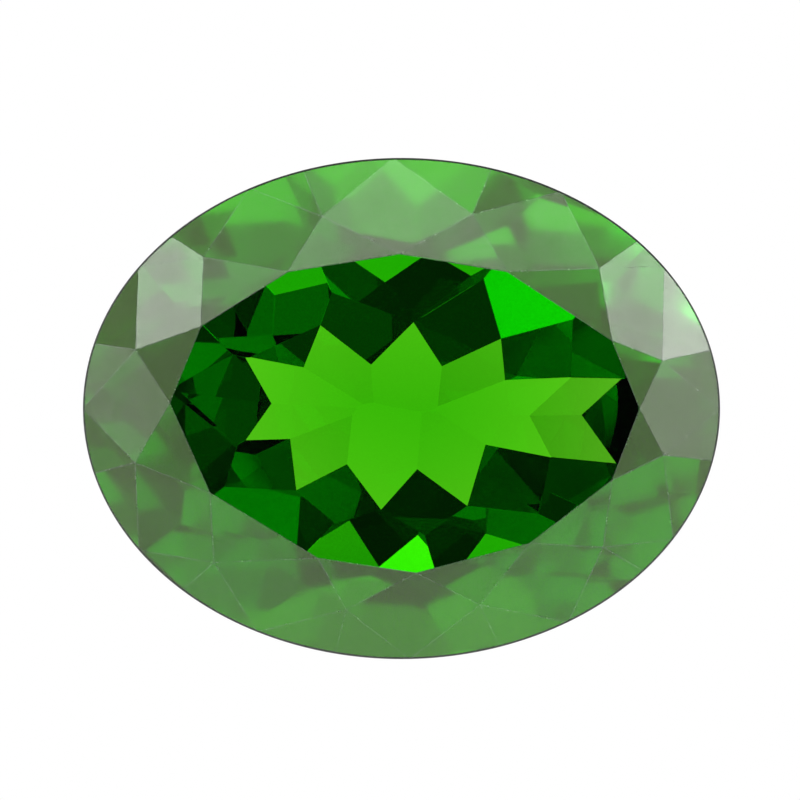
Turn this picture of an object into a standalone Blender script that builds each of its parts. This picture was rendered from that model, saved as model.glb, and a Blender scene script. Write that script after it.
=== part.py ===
"""A faceted oval chrome diopside, 9 mm long, lying on one facet of its pavilion.

The stone is cut the way a lapidary cuts it. It starts as an oval blank with a smooth girdle, and each
facet is one flat cut. The crown has 12 sides, and its cuts run through shared meet points. The pavilion
has a star of ten keel facets, with breaks, mains and belly facets round it. Sizes are in millimetres, x
along the stone's length, y across it and z up through the table, with z = 0 at the girdle's middle. The
finished mesh is turned to lie on its resting facet and scaled to metres.
"""

import math

import bmesh
import bpy
from mathutils import Matrix, Vector

STONE = "diopside"
MM = 0.001

# Girdle
LENGTH = 9.0
WIDTH = 7.08
GIRDLE_THICKNESS = 0.24
GIRDLE_SIDES = 240

# Crown
CROWN_HEIGHT = 0.98
# The table's 12 corners. The stone was cut by hand, so they aren't quite even.
TABLE_CORNERS = [
    (3.36, 0.0), (2.97, 0.96), (1.49, 1.93), (-0.02, 2.18), (-1.60, 1.93), (-2.83, 1.16),
    (-3.27, 0.08), (-2.70, -1.19), (-1.18, -2.11), (0.21, -2.32), (1.81, -1.90), (2.97, -1.01),
]
# The compass bearing of each kite on the girdle, in whole sides of it, and how far out the stars' points
# reach (1 at the girdle).
KITE_BEARINGS = [0, 34.5, 60, 91.5, 118.5, 145.5, 180, 214.5, 243, 271.5, 301.5, 328.5]
STAR_REACH = [0.84, 0.835, 0.805, 0.805, 0.866, 0.866, 0.863, 0.85, 0.82, 0.82, 0.84, 0.843]

# Pavilion
PAVILION_DEPTH = 3.7
KEEL_HALF_LENGTH = 0.45
# The ten-pointed star of keel facets: its points, and the notch that follows each.
STAR_POINTS = [
    (-2.33, 0.76), (-1.15, 1.18), (0.17, 1.22), (1.41, 0.99), (2.40, 0.44),
    (2.12, -0.69), (0.93, -1.38), (-0.29, -1.43), (-1.49, -1.16), (-2.30, -0.45),
]
STAR_NOTCHES = [
    (-1.39, 0.58), (-0.43, 0.62), (0.57, 0.60), (1.47, 0.40), (1.81, -0.10),
    (1.19, -0.51), (0.22, -0.86), (-0.77, -0.79), (-1.58, -0.43), (-1.84, 0.07),
]
# How steeply the stone rises from its keel to each notch. The star's own facets stay flat enough to see
# through, and the ones round it are just too steep for that.
NOTCH_SLOPES = [29.5, 31, 33.5, 30, 29.5, 30, 25.5, 32.5, 32.5, 30.5]
# At both ends of the keel the notch holds two break facets: where the crease between them ends, and how
# steeply it rises.
RIGHT_END = 4
LEFT_END = 9
END_CREASES = {RIGHT_END: (2.55, -0.09, 35.5), LEFT_END: (-2.58, 0.16, 39.5)}
# The two facets at the right end can be seen through, and run to points of their own.
RIGHT_END_POINTS = [(3.12, 0.43), (3.03, -0.76)]
# The bearing and the angle at which each main facet was cut, outside the points of the star.
MAINS = [
    (156.5, 50.5), (122.0, 49.0), (89.0, 51.0), (60.0, 44.5), (40.0, 43.5),
    (-44.5, 43.0), (-71.0, 51.5), (-98.0, 54.0), (-123.0, 48.5), (-163.0, 49.0),
]
# The bearing and the angle of each belly facet under the girdle.
BELLY = [
    (153.0, 70.0), (126.0, 69.5), (64.5, 62.0), (27.0, 74.5), (-1.5, 59.5),
    (-27.0, 74.5), (-75.0, 62.0), (-136.5, 63.0), (-157.5, 68.5), (168.0, 61.5),
]
# The stone lies on the main facet outside this point of the star.
RESTING_POINT = 7

# The smallest gap between two corners that is kept apart.
CORNER_MERGE = 0.0001

GIRDLE_TOP = GIRDLE_THICKNESS / 2
GIRDLE_BOTTOM = -GIRDLE_THICKNESS / 2
TABLE_HEIGHT = GIRDLE_TOP + CROWN_HEIGHT
KEEL_HEIGHT = GIRDLE_BOTTOM - PAVILION_DEPTH


class Cut:
    """A flat cut: everything on the outer side of the plane is ground away."""

    def __init__(self, point, outward):
        self.point = Vector(point)
        self.outward = Vector(outward).normalized()

    @classmethod
    def through(cls, first, second, third):
        outward = (second - first).cross(third - first)
        if outward.dot(first) < 0:
            outward.negate()
        return cls(first, outward)

    @classmethod
    def under(cls, point, bearing, angle):
        """A pavilion cut at a lapidary's bearing and angle, in degrees, through a point."""
        around, steepness = math.radians(bearing), math.radians(angle)
        sideways = math.sin(steepness)
        return cls(point, (math.cos(around) * sideways, math.sin(around) * sideways, -math.cos(steepness)))

    def height_at(self, x, y):
        lean = self.outward.x * (x - self.point.x) + self.outward.y * (y - self.point.y)
        return self.point.z - lean / self.outward.z


def girdle_point(bearing, height, reach=1.0):
    """A point over the girdle's ellipse, at a bearing in radians on the circle it was stretched from."""
    x = reach * LENGTH / 2 * math.cos(bearing)
    y = reach * WIDTH / 2 * math.sin(bearing)
    return Vector((x, y, height))


def along_girdle(bearing):
    return Vector((-LENGTH / 2 * math.sin(bearing), WIDTH / 2 * math.cos(bearing), 0))


def nearest_side(x, y):
    """The bearing of the girdle's corner that is nearest to the way from the centre to a point."""
    step = 2 * math.pi / GIRDLE_SIDES
    return step * round(math.atan2(y / (WIDTH / 2), x / (LENGTH / 2)) / step)


def reach_of(point):
    return math.hypot(point.x / (LENGTH / 2), point.y / (WIDTH / 2))


def crease(first, second, height):
    """The point at a height where two cuts meet."""
    turn = Matrix((first.outward.xy, second.outward.xy))
    level = Vector((
        first.outward.dot(first.point) - first.outward.z * height,
        second.outward.dot(second.point) - second.outward.z * height,
    ))
    spot = turn.inverted() @ level
    return Vector((spot.x, spot.y, height))


def star_apex(first, second, reach):
    """Where the crease between two kites passes a given reach, found by halving."""
    low, high = GIRDLE_TOP, TABLE_HEIGHT
    for _ in range(40):
        middle = (low + high) / 2
        if reach_of(crease(first, second, middle)) > reach:
            low = middle
        else:
            high = middle
    return crease(first, second, low)


def crown_cuts():
    corners = [Vector((x, y, TABLE_HEIGHT)) for x, y in TABLE_CORNERS]
    bearings = [math.radians(angle) for angle in KITE_BEARINGS]
    count = len(corners)
    kites = []
    for corner, bearing in zip(corners, bearings):
        tip = girdle_point(bearing, GIRDLE_TOP)
        kites.append(Cut.through(corner, tip, tip + along_girdle(bearing)))
    stars = []
    upper_girdle = []
    for i in range(count):
        following = (i + 1) % count
        apex = star_apex(kites[i], kites[following], STAR_REACH[i])
        stars.append(Cut.through(corners[i], corners[following], apex))
        middle = girdle_point(nearest_side(apex.x, apex.y), GIRDLE_TOP)
        for bearing in (bearings[i], bearings[following]):
            upper_girdle.append(Cut.through(girdle_point(bearing, GIRDLE_TOP), middle, apex))
    table = Cut((0, 0, TABLE_HEIGHT), (0, 0, 1))
    return [table] + kites + stars + upper_girdle


def notch_corner(x, y, slope):
    """A notch of the star, as high over the keel as its distance from the keel's line and its slope ask."""
    beyond = max(0.0, abs(x) - KEEL_HALF_LENGTH)
    return Vector((x, y, KEEL_HEIGHT + math.tan(math.radians(slope)) * math.hypot(beyond, y)))


def keel_corner(first, second):
    """The point of the keel that the facet between two notches runs to."""
    middle = (first.x + second.x) / 2
    if first.x * second.x < 0:
        return Vector((0, 0, KEEL_HEIGHT))
    return Vector((math.copysign(KEEL_HALF_LENGTH, middle), 0, KEEL_HEIGHT))


def crease_end(notch, place):
    x, y, slope = place
    return Vector((x, y, notch.z + math.tan(math.radians(slope)) * math.hypot(x - notch.x, y - notch.y)))


def pavilion_cuts():
    """The pavilion's cuts: keel facets, breaks, mains and belly. The mains come second in the result."""
    count = len(STAR_POINTS)
    notches = [notch_corner(x, y, slope) for (x, y), slope in zip(STAR_NOTCHES, NOTCH_SLOPES)]
    keel = []
    points = []
    for i, (x, y) in enumerate(STAR_POINTS):
        cut = Cut.through(notches[i - 1], notches[i], keel_corner(notches[i - 1], notches[i]))
        keel.append(cut)
        points.append(Vector((x, y, cut.height_at(x, y))))
    # A break facet fills each notch, or two of them with a crease between at the ends of the keel.
    breaks = []
    for i, notch in enumerate(notches):
        first, second = points[i], points[(i + 1) % count]
        if i not in END_CREASES:
            breaks.append(Cut.through(notch, first, second))
            continue
        far = crease_end(notch, END_CREASES[i])
        pair = [Cut.through(notch, first, far), Cut.through(notch, second, far)]
        breaks += pair
        if i == RIGHT_END:
            tips = [Vector((x, y, cut.height_at(x, y))) for cut, (x, y) in zip(pair, RIGHT_END_POINTS)]
            breaks.append(Cut.through(far, *tips))
    mains = [Cut.under(point, bearing, angle) for point, (bearing, angle) in zip(points, MAINS)]
    belly = []
    for bearing, angle in BELLY:
        rim = girdle_point(math.radians(bearing), GIRDLE_BOTTOM)
        facing = along_girdle(math.radians(bearing)).cross(Vector((0, 0, 1)))
        belly.append(Cut.under(rim, math.degrees(math.atan2(facing.y, facing.x)), angle))
    return keel + breaks + belly, mains


def grind(stone, cut):
    """Cuts the blank flat and closes it with the new facet."""
    everything = stone.verts[:] + stone.edges[:] + stone.faces[:]
    result = bmesh.ops.bisect_plane(
        stone, geom=everything, dist=1e-5, plane_co=cut.point, plane_no=cut.outward, clear_outer=True)
    rim = [item for item in result["geom_cut"] if isinstance(item, bmesh.types.BMEdge)]
    if rim:
        bmesh.ops.contextual_create(stone, geom=rim)


def oval_blank(stone):
    bmesh.ops.create_cone(
        stone, cap_ends=True, segments=GIRDLE_SIDES, radius1=0.5, radius2=0.5, depth=1.0)
    height = 2 * (TABLE_HEIGHT - KEEL_HEIGHT)
    bmesh.ops.scale(stone, vec=(LENGTH, WIDTH, height), verts=stone.verts)


def lying_pose(resting_cut):
    """The turn that puts the resting facet flat on the ground, with the stone's length along x."""
    up = -resting_cut.outward
    along = Vector((1, 0, 0))
    along = (along - up * along.dot(up)).normalized()
    return Matrix((along, up.cross(along), up))


def to_ground(stone):
    """Moves the stone to stand on z = 0, centred over the origin."""
    low = [min(vert.co[axis] for vert in stone.verts) for axis in range(3)]
    high = [max(vert.co[axis] for vert in stone.verts) for axis in range(3)]
    shift = Vector((-(low[0] + high[0]) / 2, -(low[1] + high[1]) / 2, -low[2]))
    bmesh.ops.translate(stone, vec=shift, verts=stone.verts)


def crystal_material():
    material = bpy.data.materials.new("chrome diopside, polished")
    material.use_nodes = True
    shader = material.node_tree.nodes["Principled BSDF"]
    shader.inputs["Base Color"].default_value = (0.045, 0.42, 0.01, 1)
    shader.inputs["Roughness"].default_value = 0.02
    shader.inputs["Metallic"].default_value = 0.0
    shader.inputs["IOR"].default_value = 1.68
    shader.inputs["Transmission Weight"].default_value = 1.0
    return material


def make_stone():
    pavilion, mains = pavilion_cuts()
    stone = bmesh.new()
    oval_blank(stone)
    for cut in crown_cuts() + pavilion + mains:
        grind(stone, cut)
    bmesh.ops.remove_doubles(stone, verts=stone.verts, dist=CORNER_MERGE)
    bmesh.ops.recalc_face_normals(stone, faces=stone.faces)
    bmesh.ops.rotate(stone, cent=(0, 0, 0), matrix=lying_pose(mains[RESTING_POINT]), verts=stone.verts)
    to_ground(stone)
    bmesh.ops.scale(stone, vec=(MM, MM, MM), verts=stone.verts)
    mesh = bpy.data.meshes.new(STONE)
    stone.to_mesh(mesh)
    stone.free()
    mesh.materials.append(crystal_material())
    return bpy.data.objects.new(STONE, mesh)


def main():
    for old in list(bpy.data.objects):
        bpy.data.objects.remove(old)
    collection = bpy.data.collections.new("faceted chrome diopside")
    bpy.context.scene.collection.children.link(collection)
    collection.objects.link(make_stone())


main()
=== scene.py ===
import math

import bmesh
import bpy
from mathutils import Matrix, Vector


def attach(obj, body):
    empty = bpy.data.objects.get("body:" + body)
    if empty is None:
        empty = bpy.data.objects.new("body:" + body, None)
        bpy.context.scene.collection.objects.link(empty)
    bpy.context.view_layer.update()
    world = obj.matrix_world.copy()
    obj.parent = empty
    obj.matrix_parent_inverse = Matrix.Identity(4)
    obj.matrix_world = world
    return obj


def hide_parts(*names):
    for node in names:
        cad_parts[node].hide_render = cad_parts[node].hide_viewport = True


# A faceted oval chrome diopside, photographed straight down on its table over a lit white pad.
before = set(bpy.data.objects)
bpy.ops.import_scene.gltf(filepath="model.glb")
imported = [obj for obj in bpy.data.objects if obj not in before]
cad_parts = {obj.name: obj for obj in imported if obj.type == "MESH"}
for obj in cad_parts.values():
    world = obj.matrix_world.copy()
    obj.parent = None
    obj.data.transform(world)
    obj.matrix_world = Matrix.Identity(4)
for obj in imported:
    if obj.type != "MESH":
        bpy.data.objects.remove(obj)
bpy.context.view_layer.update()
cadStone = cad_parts["diopside"]
mm = 0.001
print("frame loaded")


def linearColour(sRgbHex):
    channels = [int(sRgbHex[i:i + 2], 16) / 255 for i in (1, 3, 5)]
    return [c / 12.92 if c <= 0.04045 else ((c + 0.055) / 1.055) ** 2.4 for c in channels] + [1]


def addNode(tree, kind, settings=None, **inputs):
    # An input is a value, or another node's output to link to it. Spaces in its name are written as _.
    node = tree.nodes.new(kind)
    for name, value in (settings or {}).items():
        setattr(node, name, value)
    for name, value in inputs.items():
        key = int(name[2:]) if name.startswith("in") and name[2:].isdigit() else name.replace("_", " ")
        if isinstance(value, bpy.types.NodeSocket):
            tree.links.new(value, node.inputs[key])
        else:
            node.inputs[key].default_value = value
    return node


def newMaterial(name):
    material = bpy.data.materials.new(name)
    material.use_nodes = True
    material.node_tree.nodes.clear()
    return material


# The crystal itself, and what wear adds to its surface.
diopside = {
    "ior": 1.68,                # diopside's middle index
    "absorbed": "#BCF400",      # chromium takes out violet and blue first, then red
    "absorption": 1224,         # per metre: about 4.9 mm of it gives the grass green of the window
    "surfaceTint": "#FCFFFA",   # the polish itself is all but colourless
    "haze": "#8CD820",          # light that the crystal scatters back under worn facets
    "hazeShare": 0.31,
    "hazeSoftness": 1.0,
    "rubbed": "#E6F2E2",        # the milky look of an edge that has rubbed
    "rubbedShare": 0.35,
}


def fillWithCrystal(tree, shader):
    # Under each finish is the same crystal, which takes its share of the light that goes through it.
    inside = addNode(
        tree, "ShaderNodeVolumeAbsorption", None,
        Color=linearColour(diopside["absorbed"]), Density=diopside["absorption"])
    addNode(
        tree, "ShaderNodeOutputMaterial", None,
        Surface=shader.outputs["BSDF"], Volume=inside.outputs["Volume"])


def clearSurface(tree, roughness, normal, hazeShare=0.0, haze=diopside["haze"]):
    shader = addNode(
        tree, "ShaderNodeBsdfPrincipled", None, Base_Color=linearColour(diopside["surfaceTint"]),
        Roughness=roughness, IOR=diopside["ior"], Transmission_Weight=1.0, Normal=normal,
        Sheen_Weight=hazeShare, Sheen_Roughness=diopside["hazeSoftness"], Sheen_Tint=linearColour(haze))
    fillWithCrystal(tree, shader)


def fineGrain(tree, finish):
    # A noise as coarse as the finish's grain, and the roughness and the normals that it gives.
    place = addNode(tree, "ShaderNodeTexCoord").outputs["Object"]
    noise = addNode(
        tree, "ShaderNodeTexNoise", {"noise_dimensions": "3D"},
        Vector=place, Scale=1 / (finish["grain"] * mm), Detail=finish["detail"],
        Roughness=finish["fineness"]).outputs["Fac"]
    grip = addNode(
        tree, "ShaderNodeMapRange", None, Value=noise,
        From_Min=finish["noise"][0], From_Max=finish["noise"][1],
        To_Min=finish["roughness"][0], To_Max=finish["roughness"][1])
    ripple = addNode(
        tree, "ShaderNodeBump", None,
        Strength=finish["bump"], Distance=finish["height"] * mm, Height=noise)
    return noise, grip.outputs["Result"], ripple.outputs["Normal"]


# In each finish: the grain and the height of its bumps in mm, the span of the noise that is used, and
# the roughness that it is turned into.
polished = {
    "grain": 0.3,               # polishing lines are 0.5 micrometres apart, too fine to show as they are
    "detail": 2.0,
    "fineness": 0.4,
    "noise": (0.35, 0.75),
    "roughness": (0.0, 0.01),
    "bump": 0.1,
    "height": 0.001,
}


def polishedFacets():
    # Chrome diopside, lapped and polished: mirror-flat and clear, with a faint unevenness in the
    # reflections from the last polish.
    material = newMaterial("chrome diopside, lapped and polished")
    tree = material.node_tree
    _, roughness, normal = fineGrain(tree, polished)
    clearSurface(tree, roughness, normal)
    return material


worn = {
    "grain": 0.6,
    "detail": 2.0,
    "fineness": 0.5,
    "noise": (0.3, 0.7),
    "roughness": (0.11, 0.17),
    "bump": 0.1,
    "height": 0.001,
}


def crownFacets():
    # Chrome diopside, crown facets after some wear: still glossy, but a soft haze blurs what is seen
    # through them, as the stone's double refraction also does.
    material = newMaterial("chrome diopside, polished crown with light wear")
    tree = material.node_tree
    _, roughness, normal = fineGrain(tree, worn)
    clearSurface(tree, roughness, normal, diopside["hazeShare"])
    return material


rubbed = {
    "grain": 0.05,
    "detail": 2.0,
    "fineness": 0.5,
    "noise": (0.3, 0.7),
    "roughness": (0.05, 0.3),
    "bump": 0.2,
    "height": 0.004,
}


def rubbedEdges():
    # Chrome diopside, facet edges slightly rubbed: the stone is soft for a gem, so its edges turn a
    # little milky and catch light as thin lines.
    material = newMaterial("chrome diopside, rubbed facet edges")
    tree = material.node_tree
    _, roughness, normal = fineGrain(tree, rubbed)
    clearSurface(tree, roughness, normal, diopside["rubbedShare"], diopside["rubbed"])
    return material


ground = {
    "grain": 0.05,              # a 600 grit wheel leaves pits of 0.02 mm, and this is the least that shows
    "detail": 4.0,
    "fineness": 0.5,
    "noise": (0.3, 0.7),
    "roughness": (0.35, 0.6),
    "bump": 0.5,
    "height": 0.006,
    # painted shade: two dark colours, little light let through and a weak specular make the girdle a dark
    # outline
    "darkPaste": "#0A120C",
    "lightPaste": "#1C261C",
    "clearness": 0.05,          # the share of light that still gets through the pits
    "specular": 0.12,
}


def groundGirdle():
    # Chrome diopside, girdle ground round and left matt: a band of fine pits with a dark grey-green colour
    # painted on
    #     # as shade, so it reads as a thin dark line round the stone.
    material = newMaterial("chrome diopside, ground matt girdle")
    tree = material.node_tree
    pits, roughness, normal = fineGrain(tree, ground)
    # painted shade: the pits pick between the two dark colours that draw the girdle as a dark line
    paintedShade = addNode(
        tree, "ShaderNodeMix", {"data_type": "RGBA"},
        in0=pits, in6=linearColour(ground["darkPaste"]), in7=linearColour(ground["lightPaste"]))
    shader = addNode(
        tree, "ShaderNodeBsdfPrincipled", None, Base_Color=paintedShade.outputs[2], IOR=diopside["ior"],
        Roughness=roughness, Transmission_Weight=ground["clearness"],
        Specular_IOR_Level=ground["specular"], Normal=normal)
    fillWithCrystal(tree, shader)
    return material


# How the crystal is made from the CAD stone.
crystal = {
    "sameCorner": 0.0002,       # mm: corners closer than this are one
    "sameFacet": 0.3,           # degrees: faces closer than this are one flat facet
    "upright": 0.02,            # how far from upright, as a cosine, a girdle face may lean
    "level": 0.99,              # over this cosine a face is the table, and under it a crown facet
    "crownEdge": 0.011,         # mm across the narrow flat that wear left on each crown edge
    "pavilionEdge": 0.005,      # and on each pavilion edge, which wears less
    "girdleRim": 0.065,         # mm across the rounding on the girdle's two rims
    "shortestEdge": 0.04,       # mm: shorter edges are left sharp
    "flattest": 2.0,            # degrees between two facets, under which their edge doesn't show
    "spare": 0.001,             # mm that a flat may reach past the edge that it takes off
    "cut": 1e-6,                # mm: a corner this near to a flat lies on it
    "smoothTo": 30,             # degrees: the girdle is shaded round, and stays sharp at its rims
}
finishes = {"facet": 0, "crown": 1, "edge": 2, "girdle": 3}


def facetedMesh():
    # The CAD stone's triangles, joined to whole facets. It is worked on in millimetres.
    stone = bmesh.new()
    stone.from_mesh(cadStone.data)
    bmesh.ops.scale(stone, vec=(1 / mm,) * 3, verts=stone.verts)
    bmesh.ops.remove_doubles(stone, verts=stone.verts, dist=crystal["sameCorner"])
    bmesh.ops.dissolve_limit(
        stone, angle_limit=math.radians(crystal["sameFacet"]), verts=stone.verts, edges=stone.edges)
    bmesh.ops.recalc_face_normals(stone, faces=stone.faces)
    return stone


def edgeFlats(stone):
    # The narrow flat along each facet edge and along the girdle's rims: a point, a normal and a finish.
    flats = []
    for edge in stone.edges:
        if len(edge.link_faces) < 2 or edge.calc_length() < crystal["shortestEdge"]:
            continue
        first, second = edge.link_faces
        beside = {face.material_index for face in (first, second)}
        if beside == {finishes["girdle"]}:
            continue
        finish = finishes["facet"]
        width = crystal["pavilionEdge"]
        if finishes["crown"] in beside:
            finish = finishes["edge"]
            width = crystal["crownEdge"]
        if finishes["girdle"] in beside:
            finish = finishes["girdle"]
            width = crystal["girdleRim"]
        turn = first.normal.angle(second.normal)
        if turn < math.radians(crystal["flattest"]):
            continue
        outward = (first.normal + second.normal).normalized()
        depth = width * math.tan(turn / 2) / 2
        point = (edge.verts[0].co + edge.verts[1].co) / 2 - outward * depth
        highest = max((vertex.co - point).dot(outward) for vertex in stone.verts)
        if highest < 2 * depth + crystal["spare"]:      # a flat takes off the edge and nothing else
            flats.append((point, outward, finish))
    return flats


def grindFlat(stone, point, outward, finish):
    everything = stone.verts[:] + stone.edges[:] + stone.faces[:]
    bmesh.ops.bisect_plane(
        stone, geom=everything, dist=crystal["cut"], plane_co=point, plane_no=outward, clear_outer=True)
    rim = [edge for edge in stone.edges if edge.is_boundary]
    for face in bmesh.ops.holes_fill(stone, edges=rim)["faces"]:
        face.material_index = finish


def makeCrystal():
    stone = facetedMesh()
    table = max(stone.faces, key=lambda face: face.calc_area() * (face.normal.z > 0))
    tableNormal = table.normal.copy()
    tableCentre = table.calc_center_median() * mm
    for face in stone.faces:
        lean = face.normal.dot(tableNormal)
        if abs(lean) < crystal["upright"]:
            face.material_index = finishes["girdle"]
        elif 0 < lean < crystal["level"]:
            face.material_index = finishes["crown"]
    for point, outward, finish in edgeFlats(stone):
        grindFlat(stone, point, outward, finish)
    bmesh.ops.recalc_face_normals(stone, faces=stone.faces)
    for face in stone.faces:
        face.smooth = face.material_index == finishes["girdle"]
    for edge in stone.edges:
        edge.smooth = edge.calc_face_angle(0) < math.radians(crystal["smoothTo"])
    bmesh.ops.scale(stone, vec=(mm,) * 3, verts=stone.verts)
    mesh = bpy.data.meshes.new("crystal")
    stone.to_mesh(mesh)
    stone.free()
    for material in (polishedFacets(), crownFacets(), rubbedEdges(), groundGirdle()):
        mesh.materials.append(material)
    piece = bpy.data.objects.new("crystal", mesh)
    bpy.context.scene.collection.objects.link(piece)
    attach(piece, "root")
    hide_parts("diopside")
    return piece, tableNormal, tableCentre


crystalPiece, tableNormal, tableCentre = makeCrystal()
# The picture's own axes: the camera looks down on the table with the stone's length level.
towardCamera = tableNormal
imageRight = Vector((0, 1, 0)).cross(towardCamera).normalized()
imageUp = towardCamera.cross(imageRight)
print("crystal made,", len(crystalPiece.data.polygons), "faces")


photo = {
    "side": 800,                    # pixels
    "outlineCentre": (401.5, 408.5),
    "outlineLength": 637,
    "distance": 500,                # mm, far enough that the facets show without perspective
    "sensor": 36,                   # mm
    "nearest": 10,                  # mm from the camera, before which nothing shows
    "farthest": 20000,
    "girdleUnderTable": 1.12,       # mm from the table down to the girdle's middle
}


def makeCamera():
    corners = [vertex.co for vertex in crystalPiece.data.vertices]
    spans = []
    for axis in (imageRight, imageUp):
        reach = [corner.dot(axis) for corner in corners]
        spans.append((min(reach), max(reach)))
    (left, right), (bottom, top) = spans
    pixel = (right - left) / photo["outlineLength"]
    across = (left + right) / 2 + (photo["side"] / 2 - photo["outlineCentre"][0]) * pixel
    upward = (bottom + top) / 2 - (photo["side"] / 2 - photo["outlineCentre"][1]) * pixel
    depth = tableCentre.dot(towardCamera) - photo["girdleUnderTable"] * mm
    data = bpy.data.cameras.new("camera")
    data.sensor_width = photo["sensor"]
    data.lens = photo["sensor"] * photo["distance"] * mm / (photo["side"] * pixel)
    data.clip_start = photo["nearest"] * mm
    data.clip_end = photo["farthest"] * mm
    camera = bpy.data.objects.new("camera", data)
    place = imageRight * across + imageUp * upward + towardCamera * (depth + photo["distance"] * mm)
    turn = Matrix((imageRight, imageUp, towardCamera)).transposed().to_4x4()
    camera.matrix_world = Matrix.Translation(place) @ turn
    bpy.context.scene.collection.objects.link(camera)
    bpy.context.scene.camera = camera


makeCamera()
print("camera placed")


studio = {
    "pad": "#FFFFFF",
    "padGlow": 1.0,
    "padRadius": 2.0,           # m
    "padSides": 64,
    "padDrop": 0.00001,         # m under the stone, so that the two surfaces stay apart
    # The tent round the stone is open towards the camera and brightest at the stone's sides: degrees
    # off the camera's line, and the brightness there as a share of the pad's.
    "tent": [
        (0, 0.01), (10, 0.02), (20, 0.05), (30, 0.12), (40, 0.35), (55, 0.8),
        (70, 1.0), (85, 0.85), (105, 0.4), (120, 0.3), (140, 0.15),
    ],
    "lightDistance": 0.3,       # m
}
# Soft boxes: the bearing round the stone seen from the camera, how far off the camera's line, their
# half width in degrees, and how bright they are beside the pad.
softboxes = [
    {"name": "leftBox", "bearing": 137, "off": 81, "halfWidth": 11, "glow": 4.0},
    {"name": "rightBox", "bearing": 41, "off": 79, "halfWidth": 12, "glow": 3.4},
    {"name": "rightStrip", "bearing": 28, "off": 95, "halfWidth": 7, "glow": 6.0},
    {"name": "backBank", "bearing": 90, "off": 66, "halfWidth": 16, "glow": 1.5},
    {"name": "leftCard", "bearing": 172, "off": 92, "halfWidth": 18, "glow": 1.3},
    {"name": "rightCard", "bearing": 5, "off": 93, "halfWidth": 18, "glow": 1.5},
    {"name": "highLamp", "bearing": 136, "off": 50, "halfWidth": 8, "glow": 1.8},
    {"name": "leftLamp", "bearing": 120, "off": 64, "halfWidth": 7, "glow": 1.0},
    {"name": "rightLamp", "bearing": 60, "off": 72, "halfWidth": 7, "glow": 1.0},
]


def makePad():
    # Opal acrylic light pad, switched on: it is lit through, so it shows no shadow.
    material = newMaterial("opal acrylic light pad")
    tree = material.node_tree
    glow = addNode(
        tree, "ShaderNodeEmission", None, Color=linearColour(studio["pad"]), Strength=studio["padGlow"])
    addNode(tree, "ShaderNodeOutputMaterial", None, Surface=glow.outputs["Emission"])
    pad = bmesh.new()
    bmesh.ops.create_circle(pad, cap_ends=True, segments=studio["padSides"], radius=studio["padRadius"])
    bmesh.ops.translate(pad, vec=(0, 0, -studio["padDrop"]), verts=pad.verts)
    mesh = bpy.data.meshes.new("lightPad")
    pad.to_mesh(mesh)
    pad.free()
    mesh.materials.append(material)
    floor = bpy.data.objects.new("lightPad", mesh)
    bpy.context.scene.collection.objects.link(floor)


def makeSoftbox(box):
    bearing = math.radians(box["bearing"])
    off = math.radians(box["off"])
    sideways = imageRight * math.cos(bearing) + imageUp * math.sin(bearing)
    direction = towardCamera * math.cos(off) + sideways * math.sin(off)
    data = bpy.data.lights.new(box["name"], "AREA")
    data.shape = "DISK"
    data.size = 2 * studio["lightDistance"] * math.tan(math.radians(box["halfWidth"]))
    data.energy = box["glow"] * math.pi * math.pi * (data.size / 2) ** 2
    light = bpy.data.objects.new(box["name"], data)
    light.matrix_world = (
        Matrix.Translation(tableCentre + direction * studio["lightDistance"])
        @ direction.to_track_quat("Z", "Y").to_matrix().to_4x4())
    light.visible_camera = False
    bpy.context.scene.collection.objects.link(light)


def makeWorld():
    # The white tent, drawn all round by the angle off the camera's line.
    world = bpy.data.worlds.new("studio")
    world.use_nodes = True
    tree = world.node_tree
    tree.nodes.clear()
    direction = addNode(tree, "ShaderNodeTexCoord").outputs["Generated"]
    nearness = addNode(
        tree, "ShaderNodeVectorMath", {"operation": "DOT_PRODUCT"}, in0=direction, in1=towardCamera)
    angle = addNode(tree, "ShaderNodeMath", {"operation": "ARCCOSINE"}, in0=nearness.outputs["Value"])
    share = addNode(
        tree, "ShaderNodeMath", {"operation": "DIVIDE"}, in0=angle.outputs["Value"], in1=math.pi)
    ramp = addNode(tree, "ShaderNodeValToRGB", None, Fac=share.outputs["Value"])
    brightest = max(glow for _, glow in studio["tent"])
    stops = ramp.color_ramp.elements
    while len(stops) < len(studio["tent"]):
        stops.new(1.0)
    for stop, (degrees, glow) in zip(stops, studio["tent"]):
        stop.position = degrees / 180
        stop.color = (glow / brightest,) * 3 + (1,)
    glow = addNode(
        tree, "ShaderNodeBackground", None, Color=ramp.outputs["Color"], Strength=brightest)
    addNode(tree, "ShaderNodeOutputWorld", None, Surface=glow.outputs["Background"])
    bpy.context.scene.world = world


makePad()
for box in softboxes:
    makeSoftbox(box)
makeWorld()
scene = bpy.context.scene
scene.view_settings.view_transform = "Standard"
scene.cycles.max_bounces = 24
scene.cycles.glossy_bounces = 16
scene.cycles.transmission_bounces = 16
scene.cycles.blur_glossy = 0.0
scene.cycles.sampling_pattern = "TABULATED_SOBOL"   # its noise cleans up better than blue noise
print("studio lit")
